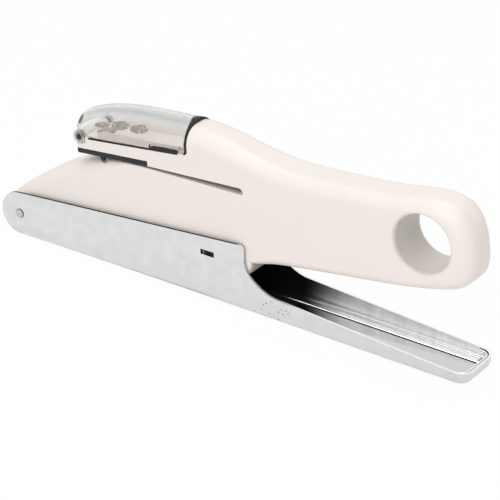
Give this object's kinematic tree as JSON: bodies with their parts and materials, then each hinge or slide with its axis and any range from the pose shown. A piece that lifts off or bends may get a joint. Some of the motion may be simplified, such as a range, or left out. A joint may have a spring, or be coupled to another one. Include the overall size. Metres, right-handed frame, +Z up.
{
  "type": "long reach hand punch",
  "caption": "Long-reach hand punch: cream moulded body with a hanging hole, a chrome squeeze lever riveted at the nose, and a clear hinged cover over the chip chamber.",
  "frame": {"origin": "middle of the lever's underside, on the surface it lies on", "axes": "+X along the lever from the nose to the free end, +Z up, -Y the side that the picture shows"},
  "size_m": [0.1968, 0.021, 0.0627],
  "materials": {
    "chrome": "bright plating on pressed sheet",
    "steel": "plain steel",
    "cream_plastic": "satin moulding",
    "brass": "turned",
    "black_metal": "blackened",
    "black_rubber": "smooth rubber",
    "black_plastic": "moulded",
    "clear_plastic": "clear moulded plastic"
  },
  "bodies": {
    "lever": {"lever": "chrome", "pivot_rivet": "steel", "drive_bracket": "steel", "bracket_rivets": "steel", "drive_pin": "steel"},
    "body": {"left_shell": "cream_plastic", "right_shell": "cream_plastic", "shell_screws": "steel", "pivot_bush": "brass", "frame_plate_left": "steel", "frame_plate_right": "steel", "frame_spacers": "steel", "frame_rivets": "steel", "punch_guide": "brass", "die_plate": "black_metal", "die_block": "steel", "die_screws": "steel", "gauge_pin": "black_metal", "cover_hinge_pin": "steel", "cover_seal": "black_rubber", "cover_catch": "black_plastic", "punch_spring": "steel"},
    "punch": {"punch": "steel", "spring_collar": "steel"},
    "cover": {"chip_cover": "clear_plastic"}
  },
  "joints": [
    {"name": "squeeze", "type": "hinge", "parent": "lever", "child": "body", "pos_m": [-0.0901, 0, 0.0083], "axis": [0, 1, 0], "range_deg": [0, 4.8], "stiffness_Nm_per_rad": 7, "springref_deg": -2.86},
    {"name": "punch_slide", "type": "slide", "parent": "body", "child": "punch", "axis": [-0.1011, 0, 0.9949], "range_m": [0, 0.0033], "deforming": ["punch_spring"]},
    {"name": "cover_hinge", "type": "hinge", "parent": "body", "child": "cover", "pos_m": [-0.0619, 0, 0.04634], "axis": [0, -1, 0], "range_deg": [0, 75]}
  ],
  "couplings": [
    {"joint": "punch_slide", "follows": "squeeze", "m_per_rad": 0.038}
  ]
}
